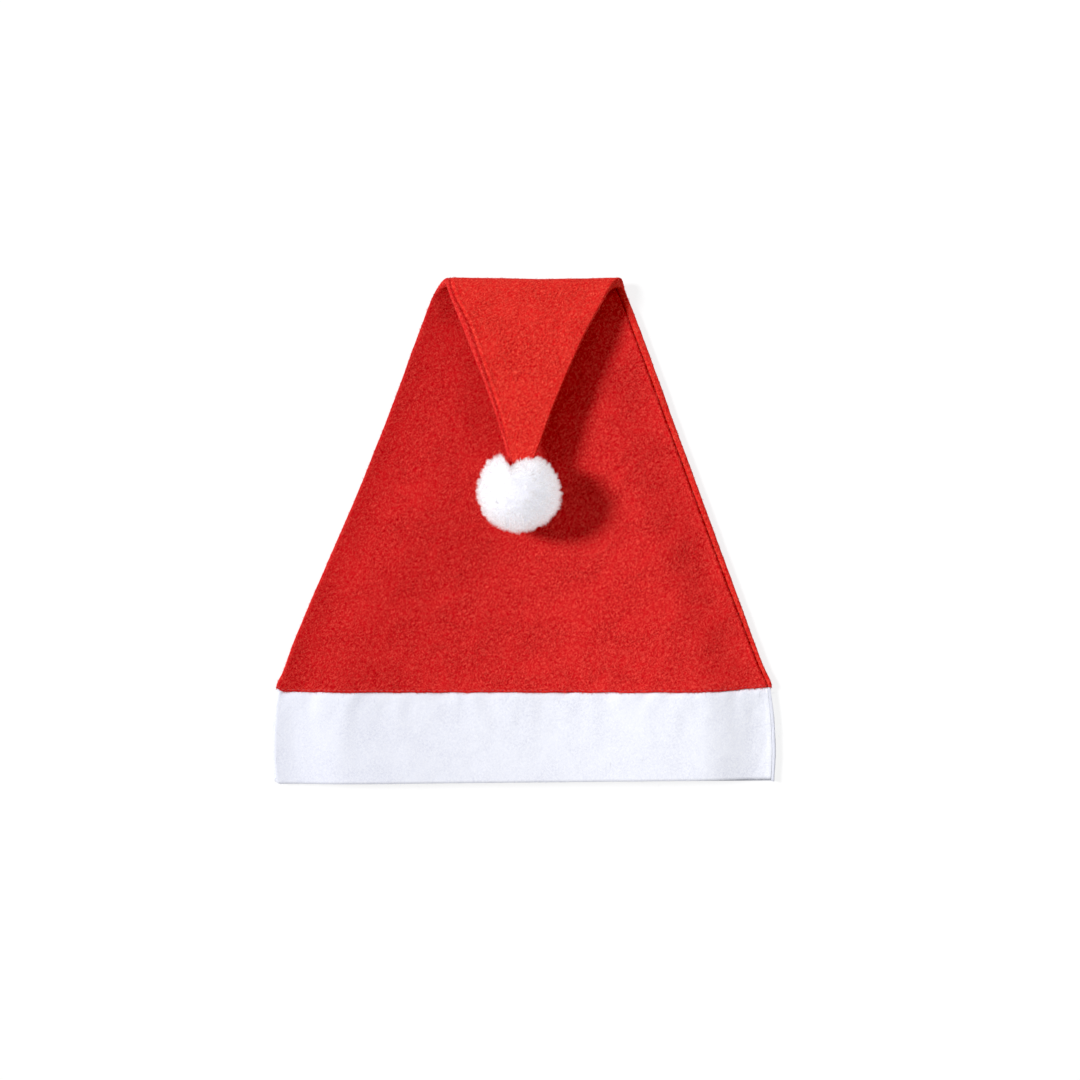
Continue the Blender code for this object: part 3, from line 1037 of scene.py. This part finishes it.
def ball_reach(ways):
    """How far the ball reaches in each way, as a share of its half size."""
    lumps = np.array([noise.noise(Vector(way) / BALL_LUMPS.size + Vector((BALL_LUMPS.seed,) * 3))
                      for way in ways])
    lobe = np.exp(-((azimuth_of(ways) - LOBE_AZIMUTH) / LOBE_WIDTH) ** 2) * (1 - ways[:, 2] ** 2)
    return 1 + BALL_LUMPS.depth * lumps + LOBE_HEIGHT * lobe - CLEFT_DEPTH * cleft(ways)


print("Ball size in mm:", np.round(2 * ball_half / MM, 1))

# %% Body of the ball
PILE_DEPTH = 0.8 * PILE
BODY_SHARE = 1 - PILE_DEPTH / ball_half.mean()

shape = bmesh.new()
bmesh.ops.create_icosphere(shape, subdivisions=6, radius=1.0)
ways = np.array([vert.co for vert in shape.verts])
body = ball_middle + ways * ball_half * (ball_reach(ways) * BODY_SHARE)[:, None]
for vert, place in zip(shape.verts, body):
    vert.co = place
body_mesh = mesh_of("pompom_body", shape)
body_mesh.materials.append(plush_backing)
body_mesh.shade_smooth()
pompom_body = new_object("pompom_body", body_mesh)
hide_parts("pompom")
print("Body faces:", len(body_mesh.polygons))

# %% Pile of the ball
HAIRS = 9000
HAIR_RADIUS = 0.12 * MM
HAIR_THICKNESS = (0.7, 1.2)
HAIR_LENGTHS = (0.85, 1.0)
LOCK_LENGTHS = (0.6, 1.1)
LOCKS = 520
LOCK_PULL = 0.70
LOCK_SPREAD = 0.24
STRAY_LEAN = 0.12
HAIR_SINK = 0.8 * MM


def pile(name, seed, length_share):
    """Hairs over the whole ball, rooted in its body and drawn together in pointed locks."""
    hairs = np.random.default_rng(seed)
    ways = unit(hairs.normal(size=(HAIRS, 3)))
    centres = unit(hairs.normal(size=(LOCKS, 3)))
    leans = unit(centres + LOCK_SPREAD * hairs.normal(size=(LOCKS, 3)))
    lengths = hairs.uniform(*LOCK_LENGTHS, LOCKS)
    lock = np.argmax(ways @ centres.T, axis=1)
    reach = ball_reach(ways)[:, None]
    roots = ball_middle + ways * (ball_half * reach * BODY_SHARE - HAIR_SINK)
    grown = PILE * length_share * (lengths[lock] * hairs.uniform(*HAIR_LENGTHS, HAIRS))[:, None]
    aim = unit(ways + STRAY_LEAN * hairs.normal(size=(HAIRS, 3)))
    tips = ways * (1 - LOCK_PULL) + centres[lock] * LOCK_PULL
    tips = ball_middle + tips * ball_half * reach * BODY_SHARE
    tips += unit(aim + leans[lock]) * grown * reach
    straight = tips - roots
    bends = (straight - unit(aim) * np.linalg.norm(straight, axis=1, keepdims=True)) / 2
    radii = HAIR_RADIUS * hairs.uniform(*HAIR_THICKNESS, HAIRS)
    return strew(name, pile_hair, roots, straight - bends, bends, radii, plush_pile)


pompom_pile = [pile("pompom_long_pile", 7, 1.0), pile("pompom_short_pile", 11, 0.86)]
print("Pile faces:", [len(piece.data.polygons) for piece in pompom_pile])

# %% [markdown]
# ## What moves with what
# The hat has no joints, so every piece rides on its one body.

# %% Ride


RESTS = (
    (crown_back, "folded", "floor", "red_felt"),
    (crown_front, "folded", "crown_back_felt", "red_felt"),
    (band_back, "laid", "floor", "white_felt"),
    (band_front, "laid", "band_back_felt", "white_felt"),
)
for sheet, held, under, slot in RESTS:
    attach(sheet.piece, "root")

for piece in (*stitches, red_fibres):
    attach(piece, "root")
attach(white_fibres, "root")
for piece in (pompom_body, *pompom_pile):
    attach(piece, "root")

# %% [markdown]
# ## Table, light and camera
# The photograph looks straight down on a white table. A large lamp far to the left throws soft
# shadows to the right, a wide one at the upper right lifts them, and the rest is even light from
# all round. The table is a grey one with a glow of its own, so it is white with faint shadows.
# The photograph's darkest reds are purer than a plain render's, because its black point is set
# a little above zero. The colour management's curves have such a black point.

# %% Stage
TABLE_SIZE = 60.0
TABLE_DROP = 0.3 * MM
TABLE_GLOW = 0.81
BLACK_POINT = 0.007
ROOM_LIGHT = 0.32
KEY_STRENGTH = 3.14
KEY_SPREAD = 13 * DEG
KEY_ELEVATION = 45.5 * DEG
KEY_TURN = 14 * DEG
FILL_POWER = 4.0
FILL_SIZE = 0.9
FILL_PLACE = (0.75, 0.75, 1.2)

shape = bmesh.new()
bmesh.ops.create_grid(shape, x_segments=1, y_segments=1, size=TABLE_SIZE / 2)
bmesh.ops.translate(shape, verts=shape.verts, vec=(0.0, 0.0, -TABLE_DROP))
table_top, _, table_shader = new_material("matt_white_table")
set_sockets(table_shader, {"Base Color": linear("#757576"), "Roughness": 0.9,
                           "Emission Color": WHITE, "Emission Strength": TABLE_GLOW})
floor = new_object("floor", mesh_of("floor", shape))
floor.data.materials.append(table_top)

world = bpy.data.worlds.new("even_light")
world.use_nodes = True
set_sockets(world.node_tree.nodes["Background"], {"Color": WHITE, "Strength": ROOM_LIGHT})
bpy.context.scene.world = world
views = bpy.context.scene.view_settings
views.view_transform = "Standard"
views.use_curve_mapping = True
views.curve_mapping.black_level = (BLACK_POINT,) * 3
views.curve_mapping.update()


def light(name, kind, way, place=(0.0, 0.0, 0.0), **settings):
    """A lamp that shines from the way given towards the hat."""
    data = bpy.data.lights.new(name, kind)
    for setting, value in settings.items():
        setattr(data, setting, value)
    lamp = new_object(name, data)
    lamp.location = place
    lamp.rotation_euler = way.to_track_quat("Z", "Y").to_euler()


key_way = Vector((-math.cos(KEY_ELEVATION) * math.cos(KEY_TURN),
                  math.cos(KEY_ELEVATION) * math.sin(KEY_TURN), math.sin(KEY_ELEVATION)))
light("key_light", "SUN", key_way, energy=KEY_STRENGTH, angle=KEY_SPREAD)
light("fill_light", "AREA", Vector(FILL_PLACE), FILL_PLACE,
      energy=FILL_POWER, shape="DISK", size=FILL_SIZE)
print("Key light's way:", [round(value, 2) for value in key_way])

# %% Camera
CAMERA_HEIGHT = 1.3
VIEW_WIDTH = 0.6156
VIEW_MIDDLE = (9.1 * MM, -5.1 * MM)
SENSOR_WIDTH = 36.0

camera_data = bpy.data.cameras.new("overhead_camera")
camera_data.sensor_width = SENSOR_WIDTH
camera_data.lens = SENSOR_WIDTH * CAMERA_HEIGHT / VIEW_WIDTH
camera = new_object("overhead_camera", camera_data)
camera.location = (*VIEW_MIDDLE, CAMERA_HEIGHT)
bpy.context.scene.camera = camera
print("Lens in mm:", round(camera_data.lens, 1))
